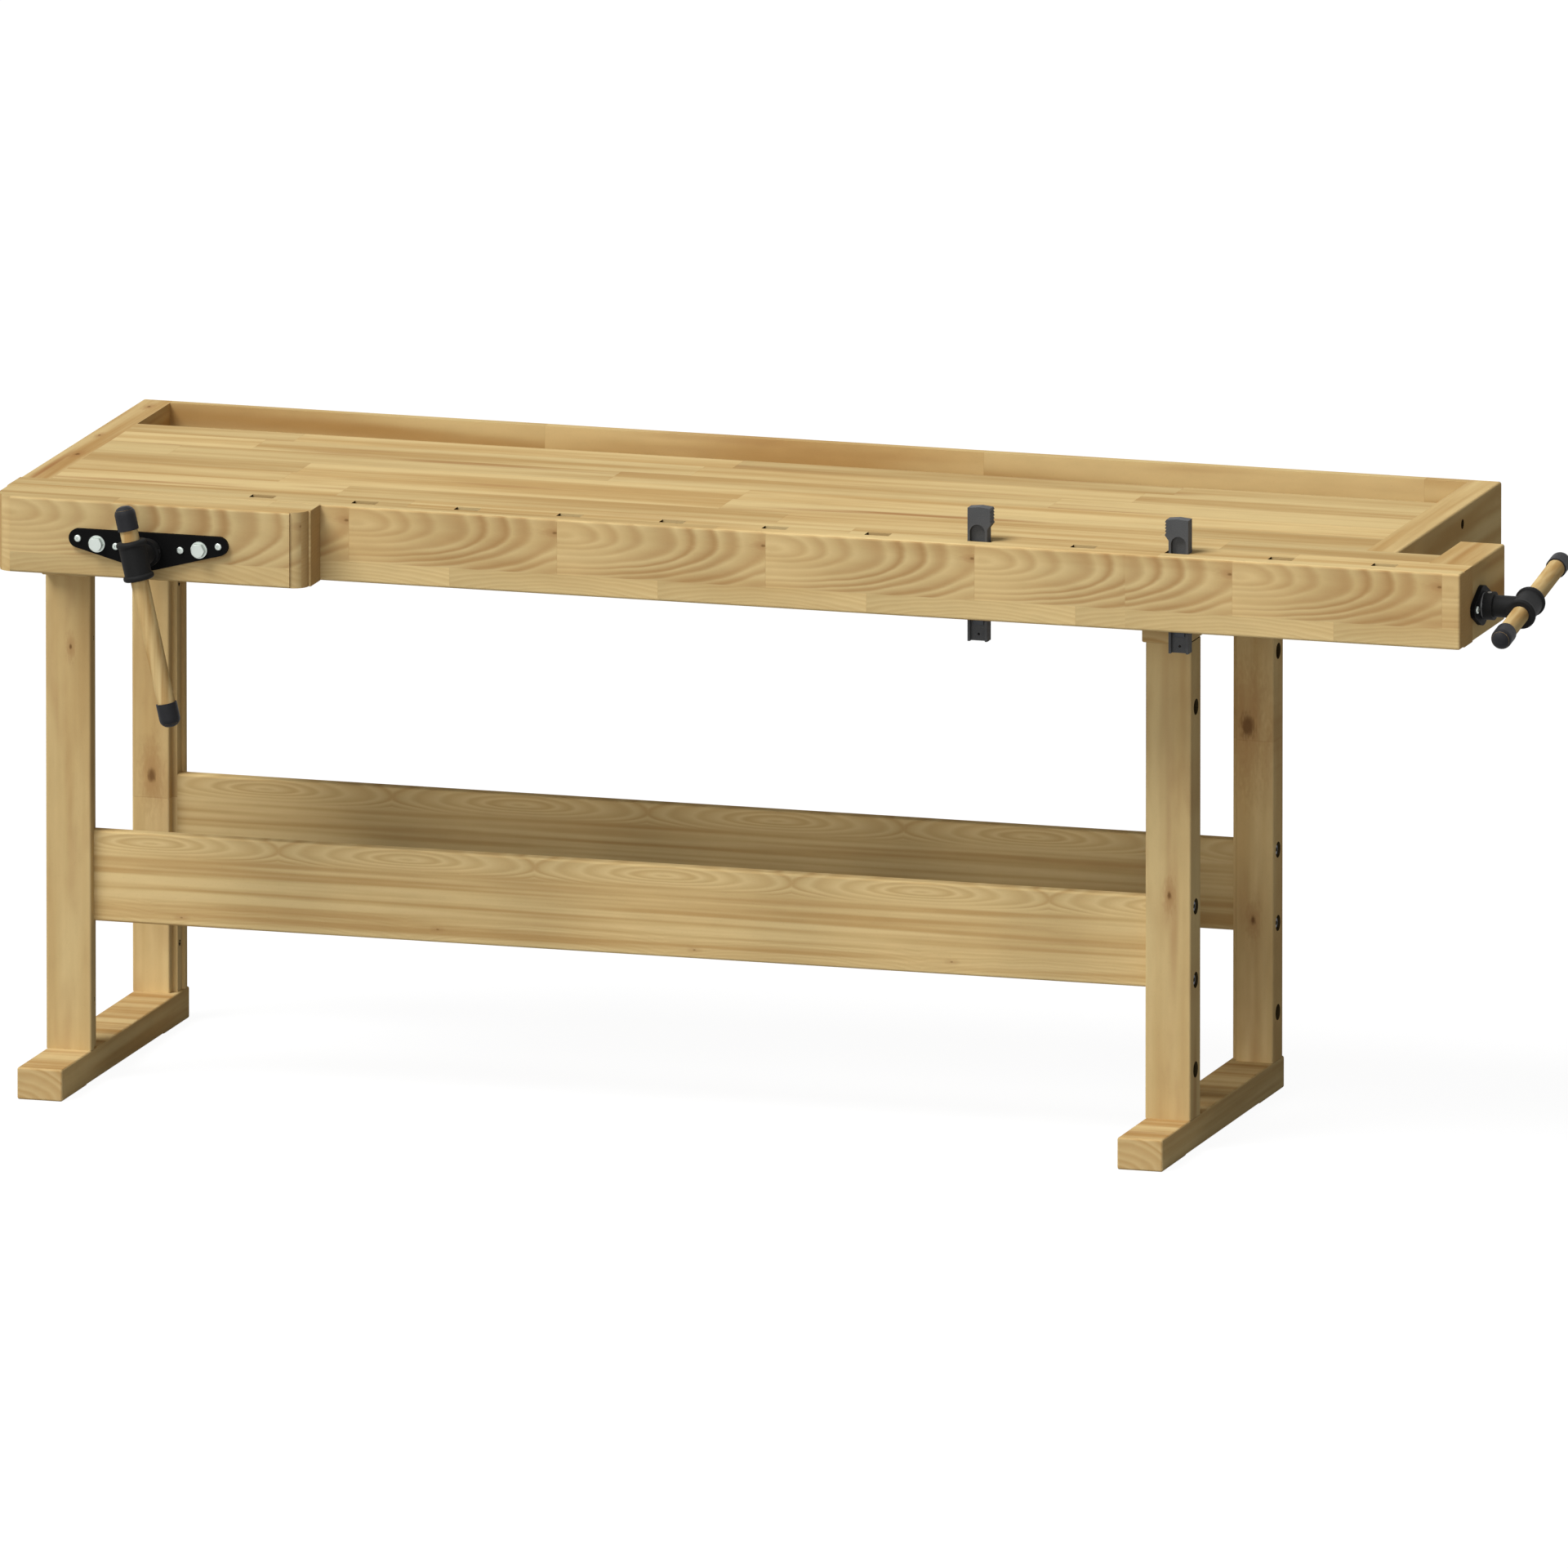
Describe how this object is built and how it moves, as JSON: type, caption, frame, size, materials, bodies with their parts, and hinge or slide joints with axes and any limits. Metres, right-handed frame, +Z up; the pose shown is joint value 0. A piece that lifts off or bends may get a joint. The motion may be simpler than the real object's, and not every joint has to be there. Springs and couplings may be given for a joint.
{
  "type": "woodworking bench with vises",
  "caption": "Joiner's workbench with a laminated top, tool tray, front vise, L-shaped tail vise, bench dogs and a bolted trestle base.",
  "frame": {"origin": "on the floor, below the middle of the whole bench with its handles", "axes": "+X along the top towards the tail vise, +Y from the front apron to the back rail, +Z up"},
  "size_m": [2.125, 0.7652, 0.897],
  "materials": {
    "beech": "light beech, satin oil",
    "handle_wood": "turned beech, satin",
    "black_iron": "matte black powder coat",
    "grey_iron": "dark grey coated casting",
    "black_plastic": "matte",
    "spring_steel": "blued spring steel",
    "bronze": "plain sintered bronze",
    "bright_steel": "ground, lightly oiled",
    "zinc": "zinc plated"
  },
  "bodies": {
    "bench": {"apron_front_lath": "beech", "apron_spacer_blocks": "beech", "apron_back_lath": "beech", "worktop_slab": "beech", "tray_lip": "beech", "tray_floor": "beech", "back_rail": "beech", "cross_batten": "beech", "end_cap_left": "beech", "end_cap_right": "beech", "leg_front_left": "beech", "leg_back_left": "beech", "foot_left": "beech", "bearer_left": "beech", "leg_front_right": "beech", "leg_back_right": "beech", "foot_right": "beech", "bearer_right": "beech", "stretcher_front": "beech", "stretcher_back": "beech", "stretcher_bolts": "zinc", "stretcher_washers": "zinc", "barrel_nuts": "zinc", "end_cap_bolts": "zinc", "bearer_bolts": "zinc", "front_guide_block": "beech", "guide_bushes": "bronze", "front_nut": "black_iron", "tail_nut": "black_iron"},
    "front_jaw": {"front_jaw_block": "beech", "front_plate": "black_iron", "front_plate_screws": "zinc", "front_rod_bolts": "zinc", "front_rod_washers": "zinc", "front_guide_rods": "bright_steel"},
    "front_screw": {"front_spindle": "bright_steel", "front_thrust_washer": "zinc", "front_hub": "black_iron", "front_hub_pin": "bright_steel"},
    "front_handle": {"front_handle_bar": "handle_wood", "front_handle_caps": "black_plastic"},
    "tail_vise": {"tail_front_lath": "beech", "tail_spacer_blocks": "beech", "tail_back_lath": "beech", "tail_guide_rods": "bright_steel", "tail_head_block": "beech", "tail_cover": "beech", "tail_end_block": "beech", "tail_plate": "black_iron", "tail_plate_screws": "zinc"},
    "tail_screw": {"tail_spindle": "bright_steel", "tail_thrust_washer": "zinc", "tail_hub": "black_iron", "tail_hub_pin": "bright_steel"},
    "tail_handle": {"tail_handle_bar": "handle_wood", "tail_handle_caps": "black_plastic"},
    "dog_a": {"dog_a": "grey_iron", "dog_a_spring": "spring_steel"},
    "dog_b": {"dog_b": "grey_iron", "dog_b_spring": "spring_steel"}
  },
  "joints": [
    {"name": "front_screw_turn", "type": "hinge", "parent": "front_jaw", "child": "front_screw", "pos_m": [-0.84055, -0.36145, 0.786], "axis": [0, -1, 0], "range_deg": [0, 9000]},
    {"name": "front_jaw_slide", "type": "slide", "parent": "bench", "child": "front_jaw", "axis": [0, -1, 0], "range_m": [0, 0.15]},
    {"name": "front_handle_slide", "type": "slide", "parent": "front_screw", "child": "front_handle", "axis": [-0.2198, 0, 0.9755], "range_m": [-0.0145, 0.1705]},
    {"name": "tail_screw_turn", "type": "hinge", "parent": "tail_vise", "child": "tail_screw", "pos_m": [1.04145, -0.13845, 0.79], "axis": [1, 0, 0], "range_deg": [0, 9000]},
    {"name": "tail_vise_slide", "type": "slide", "parent": "bench", "child": "tail_vise", "axis": [1, 0, 0], "range_m": [0, 0.15]},
    {"name": "tail_handle_slide", "type": "slide", "parent": "tail_screw", "child": "tail_handle", "axis": [0, 0.9848, 0.1736], "range_m": [-0.1195, 0.0655]},
    {"name": "dog_a_lift", "type": "slide", "parent": "bench", "child": "dog_a", "axis": [0, 0, 1], "range_m": [-0.045, 0.06]},
    {"name": "dog_b_lift", "type": "slide", "parent": "tail_vise", "child": "dog_b", "axis": [0, 0, 1], "range_m": [-0.045, 0.06]}
  ],
  "couplings": [
    {"joint": "front_jaw_slide", "follows": "front_screw_turn", "m_per_rad": 0.00095492},
    {"joint": "tail_vise_slide", "follows": "tail_screw_turn", "m_per_rad": 0.00095492}
  ]
}
